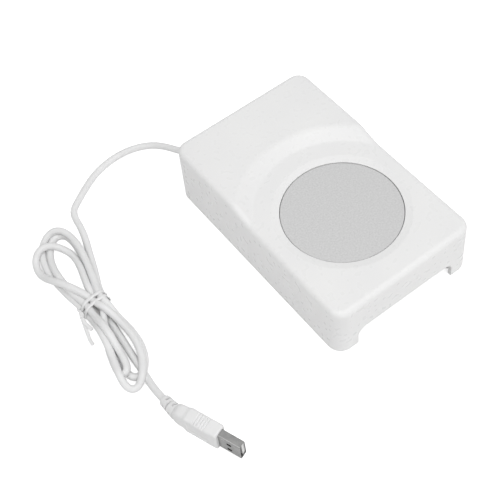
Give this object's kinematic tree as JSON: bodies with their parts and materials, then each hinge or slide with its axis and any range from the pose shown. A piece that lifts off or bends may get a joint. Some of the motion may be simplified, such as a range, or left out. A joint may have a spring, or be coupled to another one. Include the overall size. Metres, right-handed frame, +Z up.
{
  "type": "electric mug warmer",
  "caption": "Rectangular desktop warmer with a round metal heating plate sunk into its front deck, a curved step behind it and a tied USB cord.",
  "frame": {"origin": "middle of the case's footprint, on the table", "axes": "+Z up; +Y towards the back, where the cord leaves; +X to the right seen from the front, which has the arch and the plate"},
  "size_m": [0.1885, 0.2019, 0.0386],
  "materials": {
    "case": "satin white ABS",
    "cover": "fine matt white ABS",
    "screw_steel": "zinc plated",
    "foot_rubber": "matt light grey rubber",
    "plate": "fine bead-blasted, clear anodised",
    "gasket": "silicone",
    "heater_film": "polyimide film heater",
    "pad": "glass-fibre felt",
    "clamp_steel": "zinc plated sheet",
    "cutout": "moulded thermal cut-out",
    "wire_red": "silicone insulated wire",
    "wire_black": "silicone insulated wire",
    "sleeve": "heat-shrink sleeve",
    "cord": "smooth white PVC",
    "tie": "white PVC over wire",
    "plug": "satin white PVC overmould",
    "plug_metal": "nickel plated sheet",
    "plug_insulator": "white thermoplastic",
    "contact": "gold flashed"
  },
  "bodies": {
    "root": {"top_shell": "case", "bottom_cover": "cover", "housing_screws": "screw_steel", "rubber_feet": "foot_rubber", "heating_plate": "plate", "plate_gasket": "gasket", "heater_disc": "heater_film", "insulation_pad": "pad", "heater_clamp": "clamp_steel", "clamp_screws": "screw_steel", "thermal_cutout": "cutout", "cutout_strap": "clamp_steel", "strap_rivets": "screw_steel", "cord_grommet": "cord", "cord_inner": "cord", "cord_clamp": "cover", "cord_clamp_screws": "screw_steel", "supply_wire": "wire_red", "jumper_wire": "wire_red", "return_wire": "wire_black", "splice_sleeves": "sleeve", "cord_lead": "cord", "cord_hank": "cord", "cord_tail": "cord", "twist_tie": "tie", "plug_strain_relief": "plug", "plug_housing": "plug", "plug_shell": "plug_metal", "plug_tongue": "plug_insulator", "plug_contacts": "contact"}
  },
  "joints": []
}
